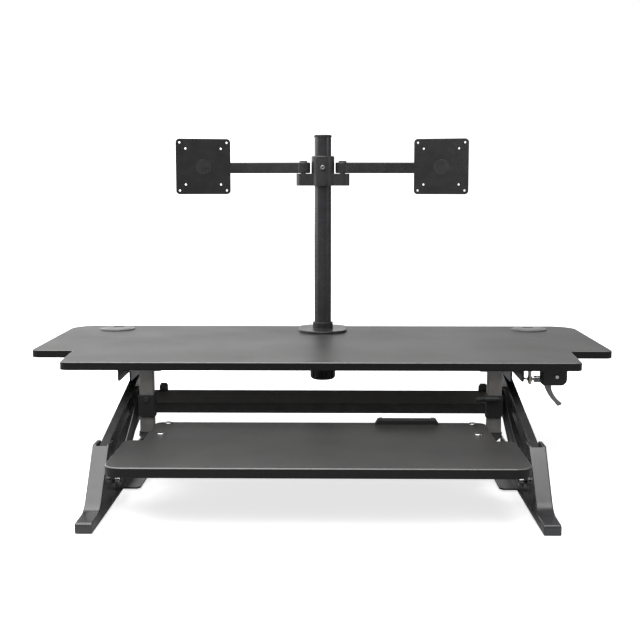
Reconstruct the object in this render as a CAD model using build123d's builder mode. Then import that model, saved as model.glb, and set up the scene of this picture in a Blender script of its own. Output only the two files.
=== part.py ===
from build123d import *
import os
from math import atan2, cos, degrees, hypot, radians, sin

# Standing desk converter. Millimetres, +X right, +Y back, +Z up.
# The origin is on the desk, under the middle of the whole converter.
# Side profiles are drawn as (distance behind the toes, height) and plans as (x, distance behind the toes).

os.makedirs("parts", exist_ok=True)

# ---- Driving dimensions -------------------------------------------------------------------------
DEPTH = 867               # front of the toes to the back of the desktop
TOE_Y = -DEPTH / 2
RUN = 0.05                # radial clearance of every running fit

DESK_HALF = 584           # desktop, half its width
DESK_FRONT = 320
DESK_TOP = 230
DESK_THICK = 16
WING_FRONT = 472          # the wings stop short of the desktop's front edge
NOSE_HALF = 490           # half-width of the middle of the front edge
NOSE_ROOT_HALF = 499      # and of its root, between the wings
DESK_UNDER = DESK_TOP - DESK_THICK

TRAY_TOP = 107
TRAY_THICK = 17
TRAY_FRONT = 13
TRAY_STEP = 210           # behind the step the tray narrows to pass between the gas springs
TRAY_BACK = 363
TRAY_HALF = 348
TRAY_REAR_HALF = 315
TRAY_BOTTOM = TRAY_TOP - TRAY_THICK

ARM_LENGTH = 410          # pivot to pivot
ARM_ANGLE = 12.4          # at rest, above the horizontal
ARM_HEIGHT = 30
ARM_IN = 367              # inner and outer faces of the right-hand arms
ARM_OUT = 383
MAIN_LOW = (158, 92.4)    # lower pivot of the main arms
LINK_OFFSET = (45, -50)   # from a main pivot to the matching link pivot
PIN_D = 10                # arm pivot bolts
BOLT_HEAD_R = 9

SIDE_IN = 362             # inner and outer faces of each foot, base rail and platform rail
SIDE_OUT = 388
WALL = 3.5
PLATE_LOW = 3             # underside of the base plate, on top of the rubber feet
PLATE = 3
BASE_BACK = 620
FLANGE_IN = 331           # inner edge of the base rail's flange
FLANGE_FRONT = 261

POLE_Y = 785
POLE_D = 38
POLE_HEIGHT = 430
VESA_Z = 598
TOE_IN = 16               # turn of each monitor plate towards the middle


def side_plane(x):
    return Plane(origin=(x, TOE_Y, 0), x_dir=(0, 1, 0), z_dir=(1, 0, 0))


def plan_plane(z):
    return Plane(origin=(0, TOE_Y, z), x_dir=(1, 0, 0), z_dir=(0, 0, 1))


def front_plane(back):
    # Local x is the row's x and local y is up; extruding goes towards the front.
    return Plane(origin=(0, TOE_Y + back, 0), x_dir=(1, 0, 0), z_dir=(0, -1, 0))


def low_x(side, inner, outer):
    # The lower x of a slab between two distances from the middle.
    return inner if side > 0 else -outer


def along(start, distance, angle):
    return (start[0] + distance * cos(radians(angle)), start[1] + distance * sin(radians(angle)))


def shifted(point, offset):
    return (point[0] + offset[0], point[1] + offset[1])


MAIN_HIGH = along(MAIN_LOW, ARM_LENGTH, ARM_ANGLE)
LINK_LOW = shifted(MAIN_LOW, LINK_OFFSET)
LINK_HIGH = shifted(MAIN_HIGH, LINK_OFFSET)
SIDES = {"left": -1, "right": 1}


def save(piece, name):
    piece.part.label = name
    export_step(piece.part, f"parts/{name}.step")


# ---- Base ---------------------------------------------------------------------------------------
RAIL_LOW_TOP = 24         # height of the rail's walls along the back
RAIL_HIGH_TOP = 64        # and around the link arm's pivot
TOE_TOP = 20
TOE_LENGTH = 66
FOOT_TOP = 114
FOOT_BACK = 197
FOOT_OUT = 391            # the castings' outer face, proud of the rails'
SCREW_BACKS = (24, 54)    # foot screws, behind the toe's front
BAR_SCREW = (347, 599)    # crossbar screw, x and distance back
FOOT_MID = (SIDE_IN + SIDE_OUT) / 2


def base_rail(side):
    inner = low_x(side, SIDE_IN, SIDE_OUT)
    with BuildPart() as rail:
        with BuildSketch(side_plane(inner)):
            front = FOOT_BACK + 1.5
            Polygon(
                (front, PLATE_LOW), (front, RAIL_HIGH_TOP), (front + 28, RAIL_HIGH_TOP),
                (front + 66, RAIL_LOW_TOP), (BASE_BACK, RAIL_LOW_TOP), (BASE_BACK, PLATE_LOW), align=None,
            )
        extrude(amount=SIDE_OUT - SIDE_IN)
        with BuildSketch(side_plane(low_x(side, SIDE_IN + WALL, SIDE_OUT - WALL))):
            with Locations(((FOOT_BACK + BASE_BACK) / 2, PLATE_LOW + PLATE + 50)):
                Rectangle(BASE_BACK, 100)
        extrude(amount=SIDE_OUT - SIDE_IN - 2 * WALL, mode=Mode.SUBTRACT)
        with BuildSketch(plan_plane(PLATE_LOW)):
            tongue_in = SIDE_IN + WALL + 1
            tongue_out = SIDE_OUT - WALL - 1
            with Locations((side * (tongue_in + tongue_out) / 2, (14 + FOOT_BACK + 2) / 2)):
                Rectangle(tongue_out - tongue_in, FOOT_BACK + 2 - 14)
            Polygon(
                (side * (SIDE_IN + 1), FLANGE_FRONT), (side * (FLANGE_IN + 6), FLANGE_FRONT),
                (side * FLANGE_IN, FLANGE_FRONT + 8), (side * FLANGE_IN, BASE_BACK),
                (side * (SIDE_IN + 1), BASE_BACK), align=None,
            )
        extrude(amount=PLATE)
        with BuildSketch(plan_plane(PLATE_LOW)):
            with Locations(*[(side * FOOT_MID, back) for back in SCREW_BACKS], (side * BAR_SCREW[0], BAR_SCREW[1])):
                Circle(2.5 + RUN)
        extrude(amount=PLATE, mode=Mode.SUBTRACT)
        with BuildSketch(side_plane(inner)):
            with Locations(LINK_LOW):
                Circle(PIN_D / 2 + RUN)
        extrude(amount=SIDE_OUT - SIDE_IN, mode=Mode.SUBTRACT)
    return rail


def foot_casting(side):
    inner = low_x(side, SIDE_IN, FOOT_OUT)
    bends = [((0, 1), 2), ((0, TOE_TOP - 1), 6), ((TOE_LENGTH, TOE_TOP), 40), ((146, FOOT_TOP), 9), ((183, FOOT_TOP), 12)]
    with BuildPart() as foot:
        with BuildSketch(side_plane(inner)) as profile:
            Polygon(
                (0, 1), (0, TOE_TOP - 1), (TOE_LENGTH, TOE_TOP), (146, FOOT_TOP), (183, FOOT_TOP),
                (FOOT_BACK, 96), (FOOT_BACK, 1), align=None,
            )
            for (y, z), radius in bends:
                fillet([v for v in profile.vertices() if hypot(v.X - y, v.Y - z) < 1], radius=radius)
        extrude(amount=FOOT_OUT - SIDE_IN)
        for flank in foot.faces().filter_by(Axis.X).sort_by(Axis.X):
            fillet(flank.edges().filter_by(lambda e: e.center().Z > 3), radius=2.5)
        # A seam along the inner flank, level with the base plate's top.
        with BuildSketch(side_plane(low_x(side, SIDE_IN - 1, SIDE_IN + 0.7))):
            with Locations((6 + FOOT_BACK / 2, PLATE_LOW + PLATE + 0.5)):
                Rectangle(FOOT_BACK, 1)
        extrude(amount=1.7, mode=Mode.SUBTRACT)
        # Hollow: open below, behind and along the top behind the slope, where the arm swings up.
        cavity = low_x(side, SIDE_IN + WALL, SIDE_OUT - WALL)
        with BuildSketch(side_plane(cavity)):
            Polygon(
                (5, 0), (5, PLATE_LOW + PLATE), (TOE_LENGTH + 8, PLATE_LOW + PLATE),
                (TOE_LENGTH + 8, TOE_TOP), (144, 108), (144, FOOT_TOP + 6),
                (FOOT_BACK + 5, FOOT_TOP + 6), (FOOT_BACK + 5, 0), align=None,
            )
        extrude(amount=SIDE_OUT - SIDE_IN - 2 * WALL, mode=Mode.SUBTRACT)
        with BuildSketch(side_plane(inner)):
            with Locations(MAIN_LOW):
                Circle(PIN_D / 2 + RUN)
        extrude(amount=FOOT_OUT - SIDE_IN, mode=Mode.SUBTRACT)
        with BuildSketch(side_plane(low_x(side, SIDE_OUT, FOOT_OUT))):
            with Locations(MAIN_LOW, LINK_LOW):
                Circle(BOLT_HEAD_R + 0.3)
        extrude(amount=FOOT_OUT - SIDE_OUT, mode=Mode.SUBTRACT)
        with BuildSketch(side_plane(low_x(side, SIDE_IN - 1, SIDE_IN + WALL + 1))):
            with Locations(SPRING_LOW):
                Circle(SPRING_PIN_D / 2 + RUN)
        extrude(amount=WALL + 2, mode=Mode.SUBTRACT)
        with BuildSketch(plan_plane(PLATE_LOW + PLATE)):
            with Locations(*[(side * FOOT_MID, back) for back in SCREW_BACKS]):
                Circle(2.5 + RUN)
        extrude(amount=9, mode=Mode.SUBTRACT)
    return foot


# Gas springs: the rod's eye is pinned to the base, the cylinder's eye to the main arm.
SPRING_X = 354.5
SPRING_LOW = (180, 42)
SPRING_PIN_D = 8
SPRING_ON_ARM = 300       # upper pin, along the main arm from its lower pivot
SPRING_HIGH = along(MAIN_LOW, SPRING_ON_ARM, ARM_ANGLE)
SPRING_RUN = hypot(SPRING_HIGH[0] - SPRING_LOW[0], SPRING_HIGH[1] - SPRING_LOW[1])
SPRING_ANGLE = degrees(atan2(SPRING_HIGH[1] - SPRING_LOW[1], SPRING_HIGH[0] - SPRING_LOW[0]))
ROD_D = 8
CYLINDER_D = 13
EYE_WIDTH = 8
ROD_EXPOSED = 56
ROD_LENGTH = 165
OPEN_EYE_PLAY = 4.6       # the upper eye is the opened pivot, so its hole is this much larger all round


def spring_plane(side, distance):
    # Across the spring, at a distance from its lower pin; extruding goes towards the upper pin.
    y, z = along(SPRING_LOW, distance, SPRING_ANGLE)
    direction = (0, cos(radians(SPRING_ANGLE)), sin(radians(SPRING_ANGLE)))
    return Plane(origin=(side * SPRING_X, TOE_Y + y, z), x_dir=(1, 0, 0), z_dir=direction)


def spring_rods():
    with BuildPart() as rods:
        for side in SIDES.values():
            with BuildSketch(side_plane(side * SPRING_X - EYE_WIDTH / 2)):
                with Locations(SPRING_LOW):
                    Circle(9)
            extrude(amount=EYE_WIDTH)
            with BuildSketch(spring_plane(side, 6)):
                Circle(ROD_D / 2)
            extrude(amount=ROD_LENGTH - 6)
        with BuildSketch(side_plane(-SIDE_OUT)):
            with Locations(SPRING_LOW):
                Circle(SPRING_PIN_D / 2 + RUN)
        extrude(amount=2 * SIDE_OUT, mode=Mode.SUBTRACT)
    return rods


def spring_cylinders():
    eye_r = SPRING_PIN_D / 2 + OPEN_EYE_PLAY + 3
    length = SPRING_RUN - ROD_EXPOSED - eye_r + 1
    with BuildPart() as cylinders:
        for side in SIDES.values():
            with BuildSketch(side_plane(side * SPRING_X - EYE_WIDTH / 2)):
                with Locations(SPRING_HIGH):
                    Circle(eye_r)
            extrude(amount=EYE_WIDTH)
            with BuildSketch(spring_plane(side, ROD_EXPOSED)):
                Circle(CYLINDER_D / 2)
            extrude(amount=length)
            with BuildSketch(spring_plane(side, ROD_EXPOSED)):
                Circle(ROD_D / 2 + RUN)
            extrude(amount=length - 8, mode=Mode.SUBTRACT)
        with BuildSketch(side_plane(-SIDE_OUT)):
            with Locations(SPRING_HIGH):
                Circle(SPRING_PIN_D / 2 + OPEN_EYE_PLAY)
        extrude(amount=2 * SIDE_OUT, mode=Mode.SUBTRACT)
    return cylinders


def spring_lower_pins():
    with BuildPart() as pins:
        for side in SIDES.values():
            with BuildSketch(side_plane(low_x(side, SPRING_X - EYE_WIDTH / 2 - 0.5, SIDE_IN + WALL))):
                with Locations(SPRING_LOW):
                    Circle(SPRING_PIN_D / 2)
            extrude(amount=SIDE_IN + WALL - SPRING_X + EYE_WIDTH / 2 + 0.5)
    return pins


def spring_upper_pins():
    # Screwed into the main arms and carried inboard over the gas springs' eyes.
    with BuildPart() as pins:
        for side in SIDES.values():
            with BuildSketch(side_plane(low_x(side, SPRING_X - EYE_WIDTH / 2 - 2, ARM_OUT - 2))):
                with Locations(SPRING_HIGH):
                    Circle(SPRING_PIN_D / 2)
            extrude(amount=ARM_OUT - SPRING_X + EYE_WIDTH / 2)
            with BuildSketch(side_plane(low_x(side, SPRING_X - EYE_WIDTH / 2 - 3.5, SPRING_X - EYE_WIDTH / 2 - 1))):
                with Locations(SPRING_HIGH):
                    Circle(8)
            extrude(amount=2.5)
    return pins


def rear_base_bar():
    bar_front = 583
    bar_depth = 32
    bar_height = 19
    with BuildPart() as bar:
        with BuildSketch(side_plane(-SIDE_IN)):
            with Locations((bar_front + bar_depth / 2, PLATE_LOW + PLATE + bar_height / 2)):
                RectangleRounded(bar_depth, bar_height, 2.5)
                RectangleRounded(bar_depth - 4, bar_height - 4, 1, mode=Mode.SUBTRACT)
        extrude(amount=2 * SIDE_IN)
        with BuildSketch(plan_plane(PLATE_LOW)):
            with Locations(*[(side * BAR_SCREW[0], BAR_SCREW[1]) for side in SIDES.values()]):
                Circle(2.5 + RUN)
        extrude(amount=PLATE + 3, mode=Mode.SUBTRACT)
    return bar


def base_screws():
    # Low-headed screws up through the base plates into the crossbar and the foot castings.
    spots = [(side * BAR_SCREW[0], BAR_SCREW[1]) for side in SIDES.values()]
    spots += [(side * FOOT_MID, back) for side in SIDES.values() for back in SCREW_BACKS]
    with BuildPart() as screws:
        with BuildSketch(plan_plane(PLATE_LOW - 1.5)):
            with Locations(*spots):
                Circle(4.5)
        extrude(amount=1.5)
        with BuildSketch(plan_plane(PLATE_LOW)):
            with Locations(*spots):
                Circle(2.5)
        extrude(amount=PLATE + 8)
    return screws


def rubber_feet():
    with BuildPart() as feet:
        with BuildSketch(plan_plane(0)):
            for side in SIDES.values():
                with Locations((side * FOOT_MID, 39), (side * FOOT_MID, 150)):
                    Circle(7.5)
                with Locations((side * 347, 300), (side * 347, 572)):
                    Circle(12)
        extrude(amount=PLATE_LOW)
    return feet


def pivot_bolts(points):
    # A shoulder bolt through both walls, with a low round head outside and a thin nut inside.
    with BuildPart() as bolts:
        for side in SIDES.values():
            with BuildSketch(side_plane(low_x(side, SIDE_IN, SIDE_OUT))):
                with Locations(*points):
                    Circle(PIN_D / 2)
            extrude(amount=SIDE_OUT - SIDE_IN)
            with BuildSketch(side_plane(low_x(side, SIDE_OUT, SIDE_OUT + 3))):
                with Locations(*points):
                    Circle(BOLT_HEAD_R)
            extrude(amount=3)
    return bolts


# ---- Lifting linkage ----------------------------------------------------------------------------
BEAM_WIDTH = 72
BEAM_HEIGHT = 23
BEAM_FROM_PIVOT = 63      # middle of the crossbeam, along the link arm from its upper pivot
BEAM_DROP = 5             # and below the arm's centre line
BEAM_MID = along(along(LINK_HIGH, -BEAM_FROM_PIVOT, ARM_ANGLE), BEAM_DROP, ARM_ANGLE - 90)
BEAM_SCREWS = [along(BEAM_MID, step, ARM_ANGLE) for step in (-24, 24)]


def arm(side, low, high, extra_hole=None, beam_holes=False):
    middle = ((low[0] + high[0]) / 2, (low[1] + high[1]) / 2)
    with BuildPart() as bar:
        with BuildSketch(side_plane(low_x(side, ARM_IN, ARM_OUT))):
            with Locations(middle):
                SlotCenterToCenter(ARM_LENGTH, ARM_HEIGHT, rotation=ARM_ANGLE)
        extrude(amount=ARM_OUT - ARM_IN)
        fillet(bar.faces().filter_by(Axis.X).edges(), radius=2)
        with BuildSketch(side_plane(low_x(side, ARM_IN, ARM_OUT))):
            with Locations(low, high):
                Circle(PIN_D / 2 + RUN)
        extrude(amount=ARM_OUT - ARM_IN, mode=Mode.SUBTRACT)
        if extra_hole:
            with BuildSketch(side_plane(low_x(side, ARM_IN, ARM_OUT - 2))):
                with Locations(extra_hole):
                    Circle(SPRING_PIN_D / 2 + RUN)
            extrude(amount=ARM_OUT - ARM_IN - 2, mode=Mode.SUBTRACT)
        if beam_holes:
            with BuildSketch(side_plane(low_x(side, ARM_IN, ARM_OUT))):
                with Locations(*BEAM_SCREWS):
                    Circle(2.5 + RUN)
            extrude(amount=ARM_OUT - ARM_IN, mode=Mode.SUBTRACT)
            with BuildSketch(side_plane(low_x(side, ARM_OUT - 4, ARM_OUT))):
                with Locations(*BEAM_SCREWS):
                    Circle(4.6)
            extrude(amount=4, mode=Mode.SUBTRACT)
    return bar


def crossbeam():
    # A flat extruded tube with two screw ports inside.
    with BuildPart() as beam:
        with BuildSketch(side_plane(-ARM_IN)):
            with Locations(BEAM_MID):
                RectangleRounded(BEAM_WIDTH, BEAM_HEIGHT, 3, rotation=ARM_ANGLE)
                RectangleRounded(BEAM_WIDTH - 5, BEAM_HEIGHT - 5, 1.5, rotation=ARM_ANGLE, mode=Mode.SUBTRACT)
            with Locations(*BEAM_SCREWS):
                Rectangle(11, BEAM_HEIGHT - 4, rotation=ARM_ANGLE)
                Circle(2.5 + RUN, mode=Mode.SUBTRACT)
        extrude(amount=2 * ARM_IN)
    return beam


def crossbeam_screws():
    with BuildPart() as screws:
        for side in SIDES.values():
            with BuildSketch(side_plane(low_x(side, ARM_OUT - 4, ARM_OUT - 0.5))):
                with Locations(*BEAM_SCREWS):
                    Circle(4.4)
            extrude(amount=3.5)
            with BuildSketch(side_plane(low_x(side, ARM_IN - 20, ARM_OUT - 4))):
                with Locations(*BEAM_SCREWS):
                    Circle(2.5)
            extrude(amount=ARM_OUT - ARM_IN + 16)
    return screws


# ---- Platform -----------------------------------------------------------------------------------
GROMMET_X = 473
GROMMET_Y = 800
GROMMET_HOLE_R = 35
STUD_D = 10
PLATFORM_RAIL_FRONT = 362
PLATFORM_RAIL_BACK = 800


def desktop():
    corners = [
        (NOSE_HALF, DESK_FRONT, 14), (NOSE_ROOT_HALF, WING_FRONT, 9), (DESK_HALF, WING_FRONT, 14),
        (DESK_HALF, DEPTH, 55),
    ]
    outline = [(x, y) for x, y, r in corners] + [(-x, y) for x, y, r in reversed(corners)]
    with BuildPart() as board:
        with BuildSketch(plan_plane(DESK_UNDER)) as plan:
            Polygon(*outline, align=None)
            for x, y, radius in corners:
                spot = [v for v in plan.vertices() if hypot(abs(v.X) - x, v.Y - y) < 1]
                fillet(spot, radius=radius)
        extrude(amount=DESK_THICK)
        fillet(board.faces().sort_by(Axis.Z)[-1].edges(), radius=2.5)
        fillet(board.faces().sort_by(Axis.Z)[0].edges(), radius=1)
        with BuildSketch(plan_plane(DESK_UNDER)):
            with Locations((GROMMET_X, GROMMET_Y), (-GROMMET_X, GROMMET_Y)):
                Circle(GROMMET_HOLE_R)
            with Locations((0, STUD_Y)):
                Circle(STUD_D / 2 + 0.5)
        extrude(amount=DESK_THICK, mode=Mode.SUBTRACT)
        with BuildSketch(plan_plane(DESK_UNDER)):
            with Locations(*RAIL_SCREWS, *HANGER_SCREWS):
                Circle(2 + RUN)
        extrude(amount=10, mode=Mode.SUBTRACT)
    return board


STUD_Y = 785
RAIL_SCREWS = [(side * FOOT_MID, y) for side in SIDES.values() for y in (400, 520, 770)]


def desktop_screws():
    # Pan-head screws up through the platform rails and the tray hangers' plates.
    with BuildPart() as screws:
        with BuildSketch(plan_plane(DESK_UNDER - WALL - 2.5)):
            with Locations(*RAIL_SCREWS, *HANGER_SCREWS):
                Circle(4)
        extrude(amount=2.5)
        with BuildSketch(plan_plane(DESK_UNDER - WALL)):
            with Locations(*RAIL_SCREWS, *HANGER_SCREWS):
                Circle(2)
        extrude(amount=WALL + 9)
    return screws


def platform_rail(side):
    inner = low_x(side, SIDE_IN, SIDE_OUT)
    with BuildPart() as rail:
        with BuildSketch(side_plane(inner)):
            Polygon(
                (PLATFORM_RAIL_FRONT, DESK_UNDER), (PLATFORM_RAIL_FRONT, 190), (PLATFORM_RAIL_FRONT + 4, 186),
                (505, 187), (538, 161), (580, 160), (LINK_HIGH[0] - 18, LINK_HIGH[1]),
                (LINK_HIGH[0] + 18, LINK_HIGH[1]), (645, 187), (PLATFORM_RAIL_BACK, 196),
                (PLATFORM_RAIL_BACK, DESK_UNDER), align=None,
            )
            with Locations(LINK_HIGH):
                Circle(18)
        extrude(amount=SIDE_OUT - SIDE_IN)
        with BuildSketch(side_plane(low_x(side, SIDE_IN + WALL, SIDE_OUT - WALL))):
            with Locations(((PLATFORM_RAIL_FRONT + PLATFORM_RAIL_BACK) / 2, DESK_UNDER - WALL - 60)):
                Rectangle(PLATFORM_RAIL_BACK, 120)
        extrude(amount=SIDE_OUT - SIDE_IN - 2 * WALL, mode=Mode.SUBTRACT)
        with BuildSketch(side_plane(inner)):
            with Locations(MAIN_HIGH, LINK_HIGH):
                Circle(PIN_D / 2 + RUN)
        extrude(amount=SIDE_OUT - SIDE_IN, mode=Mode.SUBTRACT)
        with BuildSketch(plan_plane(DESK_UNDER - WALL)):
            with Locations(*[spot for spot in RAIL_SCREWS if spot[0] * side > 0]):
                Circle(2 + RUN)
        extrude(amount=WALL, mode=Mode.SUBTRACT)
        if side > 0:
            with BuildSketch(side_plane(SIDE_OUT - WALL - 0.5)):
                with Locations((CABLE_END, CABLE_Z)):
                    Circle(CABLE_D / 2 + 1.2)
            extrude(amount=WALL + 1, mode=Mode.SUBTRACT)
    return rail


def platform_bar():
    with BuildPart() as bar:
        with BuildSketch(side_plane(-SIDE_IN)):
            with Locations((680, DESK_UNDER - 10)):
                RectangleRounded(36, 20, 2.5)
                RectangleRounded(32, 16, 1, mode=Mode.SUBTRACT)
        extrude(amount=2 * SIDE_IN)
    return bar


# Tray hangers: posts down from the desktop beside the tray's narrow rear part.
HANGER_IN = 317
HANGER_OUT = 344
HANGER_FRONT = 345
HANGER_BACK = 365
HANGER_MID = ((HANGER_IN + HANGER_OUT) / 2, (HANGER_FRONT + HANGER_BACK) / 2)
HANGER_WIDTH = HANGER_OUT - HANGER_IN
HANGER_DEPTH = HANGER_BACK - HANGER_FRONT
SLEEVE_LOW = 120
SLEEVE_HIGH = 163
PLUNGER_Z = 158
PLUNGER_BACK = 335.5
PLUNGER_BARREL = (309, 336)   # x of the barrel's ends
SLEEVE_BOLT_Z = 154
HANGER_SCREWS = [(side * x, 355) for side in SIDES.values() for x in (308, 354)]


def tray_hangers():
    spots = [(side * HANGER_MID[0], HANGER_MID[1]) for side in SIDES.values()]
    with BuildPart() as hangers:
        with BuildSketch(plan_plane(TRAY_BOTTOM)):
            with Locations(*spots):
                RectangleRounded(HANGER_WIDTH, HANGER_DEPTH, 2.5)
                RectangleRounded(HANGER_WIDTH - 5, HANGER_DEPTH - 5, 1, mode=Mode.SUBTRACT)
        extrude(amount=DESK_UNDER - WALL - TRAY_BOTTOM)
        with BuildSketch(plan_plane(DESK_UNDER - WALL)):
            with Locations(*spots):
                RectangleRounded(60, 44, 5)
            with Locations(*HANGER_SCREWS):
                Circle(2 + RUN, mode=Mode.SUBTRACT)
        extrude(amount=WALL)
        with BuildSketch(front_plane(HANGER_MID[1])):
            with Locations((-HANGER_MID[0], SLEEVE_BOLT_Z)):
                Circle(3 + RUN)
        extrude(amount=HANGER_DEPTH, mode=Mode.SUBTRACT)
    return hangers


def hanger_sleeves():
    # Cast clamps round the posts; the right one carries a barrel for the plunger on its front.
    with BuildPart() as sleeves:
        with BuildSketch(front_plane(HANGER_BACK + 3)) as face:
            with Locations(*[(side * HANGER_MID[0], (SLEEVE_LOW + SLEEVE_HIGH) / 2) for side in SIDES.values()]):
                Rectangle(HANGER_WIDTH + 4, SLEEVE_HIGH - SLEEVE_LOW)
            lowest = face.vertices().group_by(Axis.Y)[0].sort_by(Axis.X)
            fillet([lowest[0], lowest[-1]], radius=9)
        extrude(amount=HANGER_DEPTH + 6)
        fillet(sleeves.faces().sort_by(Axis.Y)[:2].edges(), radius=1)
        with BuildSketch(side_plane(PLUNGER_BARREL[0])):
            with Locations((PLUNGER_BACK, PLUNGER_Z)):
                Circle(5.5)
            with Locations((PLUNGER_BACK + 4, PLUNGER_Z)):
                Rectangle(8, 8)
        extrude(amount=PLUNGER_BARREL[1] - PLUNGER_BARREL[0])
        with BuildSketch(side_plane(PLUNGER_BARREL[0])):
            with Locations((PLUNGER_BACK, PLUNGER_Z)):
                Circle(2.5 + RUN)
        extrude(amount=PLUNGER_BARREL[1] - PLUNGER_BARREL[0], mode=Mode.SUBTRACT)
        with BuildSketch(plan_plane(SLEEVE_LOW)):
            with Locations(*[(side * HANGER_MID[0], HANGER_MID[1]) for side in SIDES.values()]):
                RectangleRounded(HANGER_WIDTH + 0.2, HANGER_DEPTH + 0.2, 2.5)
        extrude(amount=SLEEVE_HIGH - SLEEVE_LOW, mode=Mode.SUBTRACT)
        with BuildSketch(front_plane(HANGER_MID[1])):
            with Locations((-HANGER_MID[0], SLEEVE_BOLT_Z)):
                Circle(3 + RUN)
        extrude(amount=HANGER_DEPTH, mode=Mode.SUBTRACT)
    return sleeves


def hanger_bolt():
    # Clamps the left sleeve to its post, from the front.
    with BuildPart() as bolt:
        with BuildSketch(front_plane(HANGER_FRONT - 3)):
            with Locations((-HANGER_MID[0], SLEEVE_BOLT_Z)):
                Circle(5.5)
        extrude(amount=3.5)
        fillet(bolt.faces().sort_by(Axis.Y)[0].edges(), radius=1.5)
        with BuildSketch(front_plane(HANGER_FRONT - 3)):
            with Locations((-HANGER_MID[0], SLEEVE_BOLT_Z)):
                Circle(3)
        extrude(amount=-9)
    return bolt


def tray_plunger():
    inner, outer = PLUNGER_BARREL
    with BuildPart() as plunger:
        with BuildSketch(side_plane(inner - 15)):
            with Locations((PLUNGER_BACK, PLUNGER_Z)):
                Circle(4.5)
        extrude(amount=14.5)
        fillet(plunger.faces().sort_by(Axis.X)[0].edges(), radius=1.5)
        with BuildSketch(side_plane(inner - 1)):
            with Locations((PLUNGER_BACK, PLUNGER_Z)):
                Circle(2.5)
        extrude(amount=outer - inner + 5)
    return plunger


# Tray, with its two brackets underneath.
TRAY_BOLT_X = 289.5
TRAY_BOLT_BACKS = (257, 347)
TRAY_BOLTS = [(side * TRAY_BOLT_X, back) for side in SIDES.values() for back in TRAY_BOLT_BACKS]
BRACKET_THICK = 3.5


def tray_brackets():
    with BuildPart() as brackets:
        with BuildSketch(plan_plane(TRAY_BOTTOM - BRACKET_THICK)):
            for side in SIDES.values():
                Polygon(
                    (side * 268, 240), (side * 305, 240), (side * HANGER_OUT, 335), (side * HANGER_OUT, 366),
                    (side * 268, 366), align=None,
                )
            with Locations(*TRAY_BOLTS):
                Circle(3 + RUN, mode=Mode.SUBTRACT)
        extrude(amount=BRACKET_THICK)
    return brackets


def keyboard_tray():
    front_r = 30
    with BuildPart() as tray:
        with BuildSketch(plan_plane(TRAY_BOTTOM)) as plan:
            Polygon(
                (-TRAY_HALF, TRAY_FRONT), (TRAY_HALF, TRAY_FRONT), (TRAY_HALF, TRAY_STEP),
                (TRAY_REAR_HALF, TRAY_STEP), (TRAY_REAR_HALF, TRAY_BACK),
                (-TRAY_REAR_HALF, TRAY_BACK), (-TRAY_REAR_HALF, TRAY_STEP), (-TRAY_HALF, TRAY_STEP), align=None,
            )
            rows = plan.vertices().group_by(Axis.Y)
            fillet(rows[0], radius=front_r)
            step = plan.vertices().filter_by(lambda v: abs(v.Y - TRAY_STEP) < 1)
            fillet(step.sort_by(lambda v: abs(v.X))[-2:], radius=16)
            fillet(plan.vertices().group_by(Axis.Y)[-1], radius=15)
        extrude(amount=TRAY_THICK)
        fillet(tray.faces().sort_by(Axis.Z)[-1].edges(), radius=2.5)
        fillet(tray.faces().sort_by(Axis.Z)[0].edges(), radius=1)
        with BuildSketch(plan_plane(TRAY_BOTTOM)):
            with Locations(*TRAY_BOLTS):
                Circle(3 + RUN)
        extrude(amount=TRAY_THICK, mode=Mode.SUBTRACT)
        with BuildSketch(plan_plane(TRAY_TOP - 10)):
            with Locations(*STOP_SCREWS):
                Circle(2 + RUN)
        extrude(amount=10, mode=Mode.SUBTRACT)
    return tray


def tray_bolts():
    # Broad domed heads on the tray, nuts under the brackets.
    with BuildPart() as bolts:
        with BuildSketch(plan_plane(TRAY_TOP)):
            with Locations(*TRAY_BOLTS):
                Circle(8)
        extrude(amount=3)
        fillet(bolts.faces().sort_by(Axis.Z).group_by(Axis.Z)[-1].edges(), radius=2)
        with BuildSketch(plan_plane(TRAY_BOTTOM - BRACKET_THICK)):
            with Locations(*TRAY_BOLTS):
                Circle(3)
        extrude(amount=TRAY_THICK + BRACKET_THICK)
    return bolts


# A low bar on the tray's back edge, right of the middle.
STOP_LEFT = 104
STOP_RIGHT = 226
STOP_SCREWS = [(115, 352), (214, 352)]
STOP_HEIGHT = 10


def tray_stop_bar():
    with BuildPart() as bar:
        with BuildSketch(front_plane(360)):
            Polygon(
                (STOP_LEFT, TRAY_TOP), (STOP_LEFT + 6, TRAY_TOP + STOP_HEIGHT),
                (STOP_RIGHT - 6, TRAY_TOP + STOP_HEIGHT), (STOP_RIGHT, TRAY_TOP), align=None,
            )
        extrude(amount=16)
        fillet(bar.edges().filter_by(Axis.X).group_by(Axis.Z)[-1], radius=3)
        with BuildSketch(plan_plane(TRAY_TOP)):
            with Locations(*STOP_SCREWS):
                Circle(2 + RUN)
        extrude(amount=STOP_HEIGHT, mode=Mode.SUBTRACT)
    return bar


def stop_bar_screws():
    with BuildPart() as screws:
        with BuildSketch(plan_plane(TRAY_TOP + STOP_HEIGHT)):
            with Locations(*STOP_SCREWS):
                Circle(3.6)
        extrude(amount=1.8)
        with BuildSketch(plan_plane(TRAY_TOP - 8)):
            with Locations(*STOP_SCREWS):
                Circle(2)
        extrude(amount=STOP_HEIGHT + 8)
    return screws


# ---- Release lever ------------------------------------------------------------------------------
HOUSING = (421, 467)          # x of its sides
HOUSING_FRONT = 347
HOUSING_BACK = 381
HOUSING_LOW = 182
LEVER_PIVOT = (447.5, 199)    # x and height
LEVER_MID = (HOUSING_FRONT + HOUSING_BACK) / 2
LEVER_PIN_D = 5
LEVER_THICK = 9
CABLE_D = 3.2
CABLE_Z = 192
CABLE_END = 456
ANCHOR = (397, 401)           # x of the anchor plate's faces


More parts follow.
